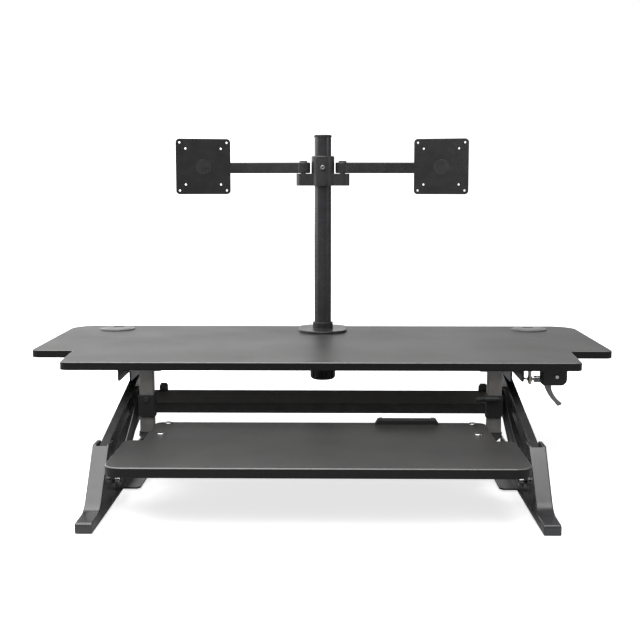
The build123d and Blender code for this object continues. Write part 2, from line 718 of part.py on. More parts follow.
def lever_housing():
    width = HOUSING[1] - HOUSING[0]
    depth = HOUSING_BACK - HOUSING_FRONT
    with BuildPart() as housing:
        with BuildSketch(front_plane(HOUSING_BACK)) as face:
            Polygon(
                (HOUSING[0], DESK_UNDER), (HOUSING[0], HOUSING_LOW), (HOUSING[1], HOUSING_LOW),
                (HOUSING[1], DESK_UNDER), align=None,
            )
            fillet(face.vertices().group_by(Axis.Y)[0].sort_by(Axis.X)[-1], radius=12)
            fillet(face.vertices().group_by(Axis.Y)[0].sort_by(Axis.X)[0], radius=3)
        extrude(amount=depth)
        front_edges = housing.faces().sort_by(Axis.Y)[0].edges()
        fillet(front_edges.filter_by(lambda e: e.center().Z < DESK_UNDER - 1), radius=1.5)
        with BuildSketch(front_plane(HOUSING_BACK - 2.5)):
            with Locations(((HOUSING[0] + HOUSING[1]) / 2, HOUSING_LOW + 17)):
                RectangleRounded(width - 5, 29, 4)
        extrude(amount=depth - 5, mode=Mode.SUBTRACT)
        # Mouth for the lever to swing in.
        with BuildSketch(plan_plane(HOUSING_LOW - 1)):
            with Locations((LEVER_PIVOT[0] - 9, LEVER_MID)):
                Rectangle(28, LEVER_THICK + 3)
        extrude(amount=12, mode=Mode.SUBTRACT)
        with BuildSketch(front_plane(HOUSING_BACK)):
            with Locations(LEVER_PIVOT):
                Circle(LEVER_PIN_D / 2 + RUN)
        extrude(amount=depth, mode=Mode.SUBTRACT)
        with BuildSketch(side_plane(HOUSING[0] - 1)):
            with Locations((LEVER_MID, CABLE_Z)):
                Circle(CABLE_D / 2 + 0.2)
        extrude(amount=6, mode=Mode.SUBTRACT)
    return housing


def release_lever():
    # A hub on the pin, a web that leaves the housing on its inner side, and a handle curving down and outward.
    x, z = LEVER_PIVOT
    with BuildPart() as lever:
        with BuildSketch(front_plane(LEVER_MID + LEVER_THICK / 2)):
            with BuildLine():
                inner = Spline((x - 21, z - 12), (x - 17, z - 28), (x - 9, z - 42), (x + 5, z - 59),
                               tangents=((0, -1), (0.7, -1)))
                outer = Spline((x - 8, z - 12), (x - 7.5, z - 25), (x - 2, z - 37), (x + 15, z - 54.5),
                               tangents=((0, -1), (1, -0.8)))
                Line(inner @ 1, outer @ 1)
                Line(inner @ 0, outer @ 0)
            make_face()
            Polygon((x - 21, z - 11), (x - 8, z - 12), (x, z - 8), (x, z + 8), (x - 6, z + 7), align=None)
            with Locations((x, z)):
                Circle(8)
            Polygon((x - 21, z - 12.5), (x - 8, z - 12.5), (x - 8, z - 9), (x - 21, z - 9), align=None)
        extrude(amount=LEVER_THICK)
        tip = lever.edges().filter_by(Axis.Y).sort_by(Axis.Z)[:2]
        fillet(tip, radius=2.5)
        with BuildSketch(front_plane(LEVER_MID + LEVER_THICK / 2)):
            with Locations(LEVER_PIVOT):
                Circle(LEVER_PIN_D / 2 + RUN)
        extrude(amount=LEVER_THICK, mode=Mode.SUBTRACT)
    return lever


def lever_pin():
    # The pin's slotted head shows on the front of the housing.
    with BuildPart() as pin:
        with BuildSketch(front_plane(HOUSING_BACK)):
            with Locations(LEVER_PIVOT):
                Circle(LEVER_PIN_D / 2)
        extrude(amount=HOUSING_BACK - HOUSING_FRONT)
        with BuildSketch(front_plane(HOUSING_FRONT)):
            with Locations(LEVER_PIVOT):
                Circle(3.6)
        extrude(amount=2)
        fillet(pin.faces().sort_by(Axis.Y)[0].edges(), radius=0.8)
        with BuildSketch(front_plane(HOUSING_FRONT - 1)):
            with Locations(LEVER_PIVOT):
                Rectangle(8, 1.2, rotation=25)
        extrude(amount=2, mode=Mode.SUBTRACT)
    return pin


def cable_anchor():
    # An angle under the desktop that holds the cable's adjuster.
    with BuildPart() as anchor:
        with BuildSketch(front_plane(LEVER_MID + 8)):
            Polygon(
                (SIDE_OUT, DESK_UNDER), (ANCHOR[1], DESK_UNDER), (ANCHOR[1], 183), (ANCHOR[0], 183),
                (ANCHOR[0], DESK_UNDER - 3), (SIDE_OUT, DESK_UNDER - 3), align=None,
            )
        extrude(amount=16)
        with BuildSketch(side_plane(ANCHOR[0])):
            with Locations((LEVER_MID, CABLE_Z)):
                Circle(3 + RUN)
        extrude(amount=ANCHOR[1] - ANCHOR[0], mode=Mode.SUBTRACT)
    return anchor


def cable_adjuster():
    with BuildPart() as adjuster:
        with BuildSketch(side_plane(ANCHOR[0] - 2)):
            with Locations((LEVER_MID, CABLE_Z)):
                Circle(3)
        extrude(amount=ANCHOR[1] - ANCHOR[0] + 6)
        for low in (ANCHOR[0] - 2, ANCHOR[1]):
            with BuildSketch(side_plane(low)):
                with Locations((LEVER_MID, CABLE_Z)):
                    RegularPolygon(5.6, 6)
            extrude(amount=2)
        with BuildSketch(side_plane(ANCHOR[0] - 2)):
            with Locations((LEVER_MID, CABLE_Z)):
                Circle(CABLE_D / 2 + RUN)
        extrude(amount=ANCHOR[1] - ANCHOR[0] + 6, mode=Mode.SUBTRACT)
    return adjuster


def cable_spring():
    start = ANCHOR[1] + 4.3
    length = HOUSING[0] - start - 0.3
    wire_r = 0.9
    pitch = 2.6
    with BuildPart() as coil:
        centre = (start + wire_r, TOE_Y + LEVER_MID, CABLE_Z)
        with BuildLine() as path:
            Helix(pitch=pitch, height=length - 2 * wire_r, radius=6, center=centre, direction=(1, 0, 0))
        with BuildSketch(Plane(origin=path.line @ 0, z_dir=path.line % 0)):
            Circle(wire_r)
        sweep(is_frenet=True)
    return coil


def release_cable():
    # From the lever housing, through the anchor, then back along the rail to the springs' pins.
    run_x = SIDE_OUT + 2
    bend = 5
    level = TOE_Y + LEVER_MID
    with BuildPart() as cable:
        with BuildLine() as path:
            first = Line((HOUSING[0] + 3, level, CABLE_Z), (run_x + bend, level, CABLE_Z))
            turn = RadiusArc(first @ 1, (run_x, level + bend, CABLE_Z), bend)
            back = Line(turn @ 1, (run_x, TOE_Y + CABLE_END - 4, CABLE_Z))
            inward = RadiusArc(back @ 1, (run_x - 4, TOE_Y + CABLE_END, CABLE_Z), -4)
        with BuildSketch(Plane(origin=path.line @ 0, z_dir=path.line % 0)):
            Circle(CABLE_D / 2)
        sweep()
    return cable


# ---- Grommets -----------------------------------------------------------------------------------
GROMMET_RIM_R = 40
GROMMET_CAP_R = 31
CAP_LOW = DESK_TOP - 1


def grommet_rings():
    spots = [(side * GROMMET_X, GROMMET_Y) for side in SIDES.values()]
    with BuildPart() as rings:
        with BuildSketch(plan_plane(DESK_UNDER + 2)):
            with Locations(*spots):
                Circle(GROMMET_HOLE_R - 0.2)
                Circle(GROMMET_CAP_R - 3, mode=Mode.SUBTRACT)
        extrude(amount=DESK_THICK - 2)
        with BuildSketch(plan_plane(DESK_TOP)):
            with Locations(*spots):
                Circle(GROMMET_RIM_R)
                Circle(GROMMET_CAP_R - 3, mode=Mode.SUBTRACT)
        extrude(amount=3)
        fillet(rings.faces().group_by(Axis.Z)[-1].edges().filter_by(lambda e: e.radius > GROMMET_HOLE_R), radius=2)
        with BuildSketch(plan_plane(CAP_LOW - 0.1)):
            with Locations(*spots):
                Circle(GROMMET_CAP_R + 0.1)
        extrude(amount=6, mode=Mode.SUBTRACT)
    return rings


def grommet_cap(side):
    with BuildPart() as cap:
        with BuildSketch(plan_plane(CAP_LOW)):
            with Locations((side * GROMMET_X, GROMMET_Y)):
                Circle(GROMMET_CAP_R)
        extrude(amount=4.5)
        fillet(cap.faces().sort_by(Axis.Z)[-1].edges(), radius=1)
        with BuildSketch(plan_plane(CAP_LOW)):
            with Locations((side * GROMMET_X, GROMMET_Y + GROMMET_CAP_R - 9)):
                RectangleRounded(26, 22, 5)
        extrude(amount=5, mode=Mode.SUBTRACT)
    return cap


# ---- Monitor mount ------------------------------------------------------------------------------
FLANGE_WIDTH = 108
FLANGE_BACK = 850
FLANGE_TOP = DESK_TOP + 6
POLE_TOP = FLANGE_TOP + POLE_HEIGHT
CLAMP_Z = DESK_UNDER - 6
KNOB_LOW = 118


def pole_flange():
    # Round in front, with a straight back edge and clipped corners.
    half = FLANGE_WIDTH / 2
    mid = FLANGE_BACK - 85
    with BuildPart() as flange:
        with BuildSketch(plan_plane(DESK_TOP)):
            with Locations((0, mid)):
                Circle(half)
            Polygon(
                (-half, mid), (half, mid), (half, FLANGE_BACK - 22), (half - 22, FLANGE_BACK),
                (22 - half, FLANGE_BACK), (-half, FLANGE_BACK - 22), align=None,
            )
        extrude(amount=6)
        fillet(flange.faces().sort_by(Axis.Z)[-1].edges(), radius=2)
        with BuildSketch(plan_plane(FLANGE_TOP)):
            with Locations((0, POLE_Y)):
                Circle(POLE_D / 2 + 4)
        extrude(amount=14)
        fillet(flange.faces().sort_by(Axis.Z)[-1].edges(), radius=1.5)
        with BuildSketch(plan_plane(FLANGE_TOP)):
            with Locations((0, POLE_Y)):
                Circle(POLE_D / 2 + RUN)
        extrude(amount=14, mode=Mode.SUBTRACT)
        with BuildSketch(plan_plane(DESK_TOP)):
            with Locations((0, STUD_Y)):
                Circle(STUD_D / 2 + RUN)
        extrude(amount=6, mode=Mode.SUBTRACT)
    return flange


def monitor_pole():
    with BuildPart() as pole:
        with BuildSketch(plan_plane(FLANGE_TOP)):
            with Locations((0, POLE_Y)):
                Circle(POLE_D / 2)
                Circle(POLE_D / 2 - 2.5, mode=Mode.SUBTRACT)
        extrude(amount=POLE_HEIGHT)
    return pole


def pole_cap():
    with BuildPart() as cap:
        with BuildSketch(plan_plane(POLE_TOP)):
            with Locations((0, POLE_Y)):
                Circle(POLE_D / 2 + 1)
        extrude(amount=5)
        fillet(cap.faces().sort_by(Axis.Z)[-1].edges(), radius=3)
        with BuildSketch(plan_plane(POLE_TOP - 15)):
            with Locations((0, POLE_Y)):
                Circle(POLE_D / 2 - 2.5 - 0.1)
        extrude(amount=15)
    return cap


def clamp_stud():
    with BuildPart() as stud:
        with BuildSketch(plan_plane(KNOB_LOW + 8)):
            with Locations((0, STUD_Y)):
                Circle(STUD_D / 2)
        extrude(amount=FLANGE_TOP - KNOB_LOW - 8)
        with BuildSketch(plan_plane(FLANGE_TOP)):
            with Locations((0, STUD_Y)):
                RegularPolygon(9, 6)
        extrude(amount=6)
    return stud


def clamp_plate():
    with BuildPart() as plate:
        with BuildSketch(plan_plane(CLAMP_Z)):
            with Locations((0, STUD_Y)):
                RectangleRounded(96, 96, 12)
                Circle(STUD_D / 2 + 0.3, mode=Mode.SUBTRACT)
        extrude(amount=DESK_UNDER - CLAMP_Z)
    return plate


def clamp_knob():
    # A round hand nut with finger flutes and a long hub that bears on the clamp plate.
    with BuildPart() as knob:
        with BuildSketch(plan_plane(KNOB_LOW)):
            with Locations((0, STUD_Y)):
                Circle(29)
        extrude(amount=30)
        fillet(knob.faces().sort_by(Axis.Z)[0].edges(), radius=9)
        fillet(knob.faces().sort_by(Axis.Z)[-1].edges(), radius=3)
        with BuildSketch(plan_plane(KNOB_LOW)):
            with Locations((0, STUD_Y)):
                with PolarLocations(31, 8):
                    Circle(5)
        extrude(amount=30, mode=Mode.SUBTRACT)
        with BuildSketch(plan_plane(KNOB_LOW + 20)):
            with Locations((0, STUD_Y)):
                Circle(13)
        extrude(amount=CLAMP_Z - 0.3 - KNOB_LOW - 20)
        with BuildSketch(plan_plane(KNOB_LOW + 7)):
            with Locations((0, STUD_Y)):
                Circle(STUD_D / 2 + RUN)
        extrude(amount=CLAMP_Z - KNOB_LOW, mode=Mode.SUBTRACT)
    return knob


# The arms: a collar on the pole, an inner and an outer link, then a swivel, a tilt and a turning plate.
SHOULDER_X = 44
ELBOW = (235, 800)
HEAD = (268, 690)
LINK_WIDTH = 32
INNER_LOW = VESA_Z - 12       # inner link and head swivel share one level
INNER_HIGH = VESA_Z + 12
OUTER_LOW = INNER_HIGH + 1
OUTER_HIGH = OUTER_LOW + 22
ARM_PIN_D = 12
COLLAR_LOW = VESA_Z - 40
COLLAR_HIGH = VESA_Z + 26
EAR_HIGH = INNER_LOW - 1
TILT_REACH = 36               # head pivot to tilt pin
PLATE_REACH = 26              # tilt pin to the monitor plate's back
PLATE_SIZE = 116
PLATE_THICK = 3
TILT_PIN_D = 8
TONGUE_WIDTH = 12
FORK_WIDTH = 26
HUB_R = 12
HUB_CAP_R = 15
HUB_STEP = 1.5                # depth of plate behind the cap's recess
CAP_GAP = 0.3                 # play under each post's cap


def head_plane(side, z):
    return Plane(origin=(side * HEAD[0], TOE_Y + HEAD[1], z), x_dir=(1, 0, 0), z_dir=(0, 0, 1)).rotated(
        (0, 0, -side * TOE_IN))


def head_face(side, forward):
    # Square to the monitor, facing its user; forward of the head's pivot.
    turn = radians(-side * TOE_IN)
    x_dir = (cos(turn), sin(turn), 0)
    normal = (sin(turn), -cos(turn), 0)
    origin = (side * HEAD[0] + normal[0] * forward, TOE_Y + HEAD[1] + normal[1] * forward, VESA_Z)
    return Plane(origin=origin, x_dir=x_dir, z_dir=normal)


def pole_collar():
    # A sleeve with two ears; a post on each ear carries an inner link.
    shoulders = [(side * SHOULDER_X, POLE_Y) for side in SIDES.values()]
    with BuildPart() as collar:
        with BuildSketch(plan_plane(COLLAR_LOW)):
            with Locations((0, POLE_Y)):
                Circle(POLE_D / 2 + 7)
        extrude(amount=COLLAR_HIGH - COLLAR_LOW)
        fillet(collar.edges().group_by(Axis.Z)[-1], radius=2)
        with BuildSketch(plan_plane(COLLAR_LOW)):
            with Locations(*shoulders):
                Circle(LINK_WIDTH / 2)
            with Locations((0, POLE_Y)):
                Rectangle(2 * SHOULDER_X, LINK_WIDTH)
        extrude(amount=EAR_HIGH - COLLAR_LOW)
        with BuildSketch(plan_plane(COLLAR_LOW)):
            with Locations(*shoulders):
                Circle(ARM_PIN_D / 2)
        extrude(amount=INNER_HIGH + CAP_GAP - COLLAR_LOW)
        with BuildSketch(plan_plane(INNER_HIGH + CAP_GAP)):
            with Locations(*shoulders):
                Circle(ARM_PIN_D / 2 + 3)
        extrude(amount=3)
        with BuildSketch(plan_plane(COLLAR_LOW)):
            with Locations((0, POLE_Y)):
                Circle(POLE_D / 2 + RUN)
        extrude(amount=COLLAR_HIGH - COLLAR_LOW, mode=Mode.SUBTRACT)
    return collar


def swing_link(start, end, low, high, post_low, cap_low):
    # Two round bosses joined by a slimmer bar; the start is bored and the end carries a post with a cap.
    middle = ((start[0] + end[0]) / 2, (start[1] + end[1]) / 2)
    length = hypot(end[0] - start[0], end[1] - start[1])
    turn = degrees(atan2(end[1] - start[1], end[0] - start[0]))
    with BuildPart() as link:
        with BuildSketch(plan_plane(low)):
            with Locations(start, end):
                Circle(LINK_WIDTH / 2)
            with Locations(middle):
                Rectangle(length, LINK_WIDTH - 8, rotation=turn)
        extrude(amount=high - low)
        fillet(link.faces().sort_by(Axis.Z)[-1].edges(), radius=2)
        fillet(link.faces().sort_by(Axis.Z)[0].edges(), radius=2)
        with BuildSketch(plan_plane(low)):
            with Locations(start):
                Circle(ARM_PIN_D / 2 + RUN)
        extrude(amount=high - low, mode=Mode.SUBTRACT)
        with BuildSketch(plan_plane(post_low)):
            with Locations(end):
                Circle(ARM_PIN_D / 2)
        extrude(amount=INNER_HIGH - INNER_LOW + 2)
        with BuildSketch(plan_plane(cap_low)):
            with Locations(end):
                Circle(ARM_PIN_D / 2 + 3)
        extrude(amount=3)
    return link


def inner_link(side):
    # Its post stands up through the outer link.
    start = (side * SHOULDER_X, POLE_Y)
    end = (side * ELBOW[0], ELBOW[1])
    return swing_link(start, end, INNER_LOW, INNER_HIGH, OUTER_LOW - 3, OUTER_HIGH + CAP_GAP)


def outer_link(side):
    # Its post hangs down through the head swivel.
    start = (side * ELBOW[0], ELBOW[1])
    end = (side * HEAD[0], HEAD[1])
    return swing_link(start, end, OUTER_LOW, OUTER_HIGH, INNER_LOW - 1, INNER_LOW - CAP_GAP - 3)


def head_swivel(side):
    # A boss under the outer link, reaching forward to a fork for the tilt bracket.
    with BuildPart() as swivel:
        with BuildSketch(head_plane(side, INNER_LOW)):
            Circle(LINK_WIDTH / 2)
            with Locations((0, -TILT_REACH / 2)):
                Rectangle(20, TILT_REACH)
            with Locations((0, -TILT_REACH)):
                Rectangle(FORK_WIDTH, 20)
        extrude(amount=INNER_HIGH - INNER_LOW)
        with BuildSketch(head_plane(side, INNER_LOW)):
            Circle(ARM_PIN_D / 2 + RUN)
            with Locations((0, -TILT_REACH - 2)):
                Rectangle(TONGUE_WIDTH + 0.4, 26)
        extrude(amount=INNER_HIGH - INNER_LOW, mode=Mode.SUBTRACT)
        with BuildSketch(tilt_plane(side, -FORK_WIDTH / 2 - 1)):
            Circle(TILT_PIN_D / 2 + RUN)
        extrude(amount=FORK_WIDTH + 2, mode=Mode.SUBTRACT)
    return swivel


def tilt_plane(side, across):
    # Square to the tilt pin, across the head.
    face = head_face(side, TILT_REACH)
    return Plane(origin=face.origin + face.x_dir * across, x_dir=face.z_dir * -1, z_dir=face.x_dir)


def tilt_bracket(side):
    # A tongue with the tilt pin through it, and a round plate with the hub that the monitor plate turns on.
    with BuildPart() as bracket:
        with BuildSketch(tilt_plane(side, -TONGUE_WIDTH / 2)):
            Circle(9)
            with Locations((-PLATE_REACH / 2, 0)):
                Rectangle(PLATE_REACH - 1, 16)
        extrude(amount=TONGUE_WIDTH)
        with BuildSketch(tilt_plane(side, -FORK_WIDTH / 2)):
            Circle(TILT_PIN_D / 2)
        extrude(amount=FORK_WIDTH)
        face = TILT_REACH + PLATE_REACH
        with BuildSketch(head_face(side, face - 6)):
            Circle(24)
        extrude(amount=6 - RUN)
        with BuildSketch(head_face(side, face - 1)):
            Circle(HUB_R)
        extrude(amount=PLATE_THICK)
        with BuildSketch(head_face(side, face + HUB_STEP + RUN)):
            Circle(HUB_CAP_R)
        extrude(amount=PLATE_THICK - HUB_STEP - 2 * RUN)
    return bracket


def vesa_plate(side):
    # Held by the hub's cap, which lies in a shallow recess.
    face = TILT_REACH + PLATE_REACH
    with BuildPart() as plate:
        with BuildSketch(head_face(side, face)):
            RectangleRounded(PLATE_SIZE, PLATE_SIZE, 8)
            Circle(HUB_R + RUN, mode=Mode.SUBTRACT)
            for pitch in (100, 75):
                with GridLocations(pitch, pitch, 2, 2):
                    Circle(2.25, mode=Mode.SUBTRACT)
        extrude(amount=PLATE_THICK)
        with BuildSketch(head_face(side, face + HUB_STEP)):
            Circle(HUB_CAP_R + RUN)
        extrude(amount=PLATE_THICK, mode=Mode.SUBTRACT)
    return plate


# ---- All pieces ---------------------------------------------------------------------------------
for tag, side in SIDES.items():
    save(base_rail(side), f"base_rail_{tag}")
    save(foot_casting(side), f"foot_casting_{tag}")
    save(arm(side, MAIN_LOW, MAIN_HIGH, extra_hole=SPRING_HIGH), f"main_arm_{tag}")
    save(arm(side, LINK_LOW, LINK_HIGH, beam_holes=True), f"link_arm_{tag}")
    save(platform_rail(side), f"platform_rail_{tag}")
    save(grommet_cap(side), f"grommet_cap_{tag}")
    save(inner_link(side), f"inner_link_{tag}")
    save(outer_link(side), f"outer_link_{tag}")
    save(head_swivel(side), f"head_swivel_{tag}")
    save(tilt_bracket(side), f"tilt_bracket_{tag}")
    save(vesa_plate(side), f"vesa_plate_{tag}")

save(pivot_bolts([MAIN_LOW, LINK_LOW]), "lower_pivot_bolts")
save(pivot_bolts([MAIN_HIGH, LINK_HIGH]), "upper_pivot_bolts")

for build in (
    rear_base_bar, base_screws, rubber_feet, spring_lower_pins, spring_upper_pins, spring_rods,
    spring_cylinders, crossbeam, crossbeam_screws, desktop, desktop_screws, platform_bar, tray_hangers,
    hanger_sleeves, tray_brackets, hanger_bolt, tray_plunger, keyboard_tray, tray_bolts, tray_stop_bar,
    stop_bar_screws, lever_housing, release_lever, lever_pin, cable_anchor, cable_adjuster, cable_spring,
    release_cable, grommet_rings, pole_flange, monitor_pole, pole_cap, clamp_stud, clamp_plate, clamp_knob,
    pole_collar,
):
    save(build(), build.__name__)
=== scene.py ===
from math import cos, pi, radians, sin

import bmesh
import bpy
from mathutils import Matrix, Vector


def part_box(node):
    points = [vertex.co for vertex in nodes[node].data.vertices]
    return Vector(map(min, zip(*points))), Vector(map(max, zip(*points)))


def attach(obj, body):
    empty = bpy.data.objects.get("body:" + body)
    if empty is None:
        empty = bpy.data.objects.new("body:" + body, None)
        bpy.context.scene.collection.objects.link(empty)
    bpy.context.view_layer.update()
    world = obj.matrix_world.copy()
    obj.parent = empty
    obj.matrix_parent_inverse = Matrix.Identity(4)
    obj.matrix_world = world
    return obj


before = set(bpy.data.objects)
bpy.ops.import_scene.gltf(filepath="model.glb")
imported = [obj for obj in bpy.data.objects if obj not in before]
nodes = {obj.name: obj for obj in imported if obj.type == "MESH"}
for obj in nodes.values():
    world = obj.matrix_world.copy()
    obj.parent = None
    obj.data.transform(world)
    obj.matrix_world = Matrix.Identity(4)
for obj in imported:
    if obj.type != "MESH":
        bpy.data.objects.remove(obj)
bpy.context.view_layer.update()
MM = 0.001


# ---- Materials ----------------------------------------------------------------------------------
class Shader:
    """A Principled material that is built up from small procedural layers."""

    def __init__(self, name, color, roughness, metallic=0.0, specular=0.5):
        self.material = bpy.data.materials.new(name)
        self.material.use_nodes = True
        self.tree = self.material.node_tree
        self.bsdf = self.tree.nodes["Principled BSDF"]
        self.color = self.constant(color)
        self.rough = self.number(roughness)
        self.normal = None
        self.bsdf.inputs["Metallic"].default_value = metallic
        self.bsdf.inputs["Specular IOR Level"].default_value = specular
        self.place = self.tree.nodes.new("ShaderNodeTexCoord").outputs["Object"]

    def constant(self, color):
        node = self.tree.nodes.new("ShaderNodeRGB")
        node.outputs[0].default_value = (*color, 1)
        return node.outputs[0]

    def number(self, value):
        node = self.tree.nodes.new("ShaderNodeValue")
        node.outputs[0].default_value = value
        return node.outputs[0]

    def link(self, source, target):
        self.tree.links.new(source, target)

    def stretched(self, stretch):
        mapping = self.tree.nodes.new("ShaderNodeMapping")
        mapping.inputs["Scale"].default_value = stretch
        self.link(self.place, mapping.inputs["Vector"])
        return mapping.outputs[0]

    def noise(self, per_metre, detail=4, stretch=(1, 1, 1)):
        node = self.tree.nodes.new("ShaderNodeTexNoise")
        node.inputs["Scale"].default_value = per_metre
        node.inputs["Detail"].default_value = detail
        self.link(self.stretched(stretch), node.inputs["Vector"])
        return node.outputs["Fac"]

    def cells(self, per_metre):
        node = self.tree.nodes.new("ShaderNodeTexVoronoi")
        node.inputs["Scale"].default_value = per_metre
        self.link(self.place, node.inputs["Vector"])
        return node.outputs["Distance"]

    def ramp(self, source, low, high, dark=0.0, light=1.0):
        node = self.tree.nodes.new("ShaderNodeMapRange")
        node.inputs["From Min"].default_value = low
        node.inputs["From Max"].default_value = high
        node.inputs["To Min"].default_value = dark
        node.inputs["To Max"].default_value = light
        self.link(source, node.inputs["Value"])
        return node.outputs[0]

    def tint(self, mask, color, amount=1.0):
        mix = self.tree.nodes.new("ShaderNodeMix")
        mix.data_type = "RGBA"
        scaled = self.ramp(mask, 0, 1, 0, amount)
        self.link(scaled, mix.inputs["Factor"])
        self.link(self.color, mix.inputs[6])
        self.link(self.constant(color), mix.inputs[7])
        self.color = mix.outputs[2]
        return self

    def vary_roughness(self, mask, amount):
        add = self.tree.nodes.new("ShaderNodeMath")
        add.operation = "MULTIPLY_ADD"
        self.link(mask, add.inputs[0])
        add.inputs[1].default_value = amount
        self.link(self.rough, add.inputs[2])
        self.rough = add.outputs[0]
        return self

    def bump(self, height, depth, strength=1.0):
        node = self.tree.nodes.new("ShaderNodeBump")
        node.inputs["Strength"].default_value = strength
        node.inputs["Distance"].default_value = depth
        self.link(height, node.inputs["Height"])
        if self.normal:
            self.link(self.normal, node.inputs["Normal"])
        self.normal = node.outputs[0]
        return self

    def soft_edges(self, radius):
        node = self.tree.nodes.new("ShaderNodeBevel")
        node.samples = 4
        node.inputs["Radius"].default_value = radius
        self.normal = node.outputs[0]
        return self

    def edge_mask(self, radius):
        """1 along sharp edges, 0 on flats."""
        bevel = self.tree.nodes.new("ShaderNodeBevel")
        bevel.samples = 4
        bevel.inputs["Radius"].default_value = radius
        flat = self.tree.nodes.new("ShaderNodeNewGeometry")
        dot = self.tree.nodes.new("ShaderNodeVectorMath")
        dot.operation = "DOT_PRODUCT"
        self.link(bevel.outputs[0], dot.inputs[0])
        self.link(flat.outputs["True Normal"], dot.inputs[1])
        return self.ramp(dot.outputs["Value"], 0.97, 0.80)

    def facing_up(self, low=0.7, high=0.95):
        """1 on faces that look up."""
        split = self.tree.nodes.new("ShaderNodeSeparateXYZ")
        self.link(self.tree.nodes.new("ShaderNodeNewGeometry").outputs["Normal"], split.inputs[0])
        return self.ramp(split.outputs["Z"], low, high)

    def done(self):
        self.link(self.color, self.bsdf.inputs["Base Color"])
        self.link(self.rough, self.bsdf.inputs["Roughness"])
        if self.normal:
            self.link(self.normal, self.bsdf.inputs["Normal"])
        return self.material


def powder_coat(name, color, roughness, grain=1100, depth=0.00012, specular=0.5, painted_top_light=None):
    """Black powder coat: a fine orange-peel and cloudy gloss; its edges are painted a little brighter as a
    highlight, and upward faces can be painted paler as light on the top.
    """
    coat = Shader(name, color, roughness, specular=specular)
    coat.soft_edges(0.0009)
    coat.bump(coat.noise(grain, 3), depth, 0.5)
    coat.bump(coat.noise(160, 2), depth * 2, 0.12)
    coat.vary_roughness(coat.ramp(coat.noise(9, 5), 0.3, 0.7), 0.10)
    coat.tint(coat.ramp(coat.noise(45, 5), 0.35, 0.75), [c * 1.5 + 0.004 for c in color], 0.6)
    # painted highlight: sharp edges are tinted brighter than the coat
    painted_edge_highlight = [c * 3 + 0.05 for c in color]
    coat.tint(coat.edge_mask(0.0012), painted_edge_highlight, 0.45)
    # painted light: upward faces are tinted paler to stand for light falling on the top
    if painted_top_light:
        coat.tint(coat.facing_up(), painted_top_light, 1.0)
    return coat.done()


def laminate():
    """Black laminate with a pebbled satin grain and very fine paler flecks."""
    skin = Shader("desk_laminate", (0.030, 0.029, 0.028), 0.40, specular=0.55)
    skin.soft_edges(0.0008)
    fine = skin.noise(1500, 4, (1.0, 0.7, 1.0))
    skin.bump(fine, 0.00035, 0.55)
    skin.bump(skin.cells(900), 0.00025, 0.30)
    skin.tint(skin.ramp(fine, 0.52, 0.78), (0.16, 0.155, 0.15), 0.5)
    skin.tint(skin.ramp(skin.noise(14, 4), 0.35, 0.7), (0.020, 0.020, 0.020), 0.5)
    skin.vary_roughness(skin.ramp(skin.noise(5, 4), 0.3, 0.7), 0.07)
    return skin.done()


def edge_band():
    """The desktop's edging: smoother and blacker than the laminate."""
    band = Shader("edge_band", (0.005, 0.005, 0.005), 0.34, specular=0.35)
    band.soft_edges(0.0008)
    band.bump(band.noise(500, 3, (1, 1, 6)), 0.0001, 0.3)
    band.vary_roughness(band.ramp(band.noise(20, 4), 0.3, 0.7), 0.08)
    # painted highlight: the band's sharp edges are tinted lighter
    band.tint(band.edge_mask(0.0012), (0.06, 0.06, 0.06), 0.5)
    return band.done()


def arris():
    """The boards' rounded edges: a glossy finish that catches the light, with a base colour paler than the
    laminate as painted highlight.
    """
    edge = Shader("board_arris_painted_highlight", (0.10, 0.098, 0.095), 0.24, specular=1.0)
    edge.bump(edge.noise(400, 3), 0.00006, 0.3)
    edge.vary_roughness(edge.ramp(edge.noise(60, 4), 0.3, 0.7), 0.12)
    return edge.done()


def moulded(name, color, roughness, sparkle=900):
    """Moulded plastic with a spark-eroded texture and slight flow marks."""
    plastic = Shader(name, color, roughness, specular=0.45)
    plastic.soft_edges(0.0006)
    plastic.bump(plastic.cells(sparkle), 0.00012, 0.5)
    plastic.bump(plastic.noise(60, 3, (1, 1, 0.3)), 0.0001, 0.2)
    plastic.vary_roughness(plastic.ramp(plastic.noise(25, 4), 0.3, 0.7), 0.12)
    # painted highlight: the plastic's sharp edges are tinted lighter
    plastic.tint(plastic.edge_mask(0.0008), [c * 2 + 0.03 for c in color], 0.4)
    return plastic.done()


def bright_metal(name, color, roughness, streak=(1, 1, 1), per_metre=700):
    """Bare or plated metal with fine streaks, a few stains and edges painted brighter as a highlight."""
    metal = Shader(name, color, roughness, metallic=1.0)
    metal.soft_edges(0.0004)
    fine = metal.noise(per_metre, 4, streak)
    metal.bump(fine, 0.00005, 0.5)
    metal.vary_roughness(metal.ramp(fine, 0.3, 0.7), 0.12)
    metal.tint(metal.ramp(metal.noise(120, 5), 0.5, 0.8), [c * 0.55 for c in color], 0.5)
    # painted highlight: sharp edges are tinted brighter than the metal
    metal.tint(metal.edge_mask(0.0006), [min(1, c * 1.25) for c in color], 0.6)
    return metal.done()


def rubber():
    pad = Shader("rubber", (0.018, 0.018, 0.018), 0.75, specular=0.3)
    pad.bump(pad.noise(700, 4), 0.0002, 0.5)
    pad.tint(pad.ramp(pad.noise(150, 5), 0.5, 0.8), (0.06, 0.058, 0.055), 0.6)
    return pad.done()


def sheath():
    """The cable's glossy sheath over its wound liner."""
    cover = Shader("cable_sheath", (0.012, 0.012, 0.013), 0.28)
    cover.bump(cover.noise(900, 2, (0.15, 1, 1)), 0.0001, 0.4)
    cover.tint(cover.ramp(cover.noise(200, 4), 0.5, 0.8), (0.05, 0.05, 0.05), 0.4)
    return cover.done()


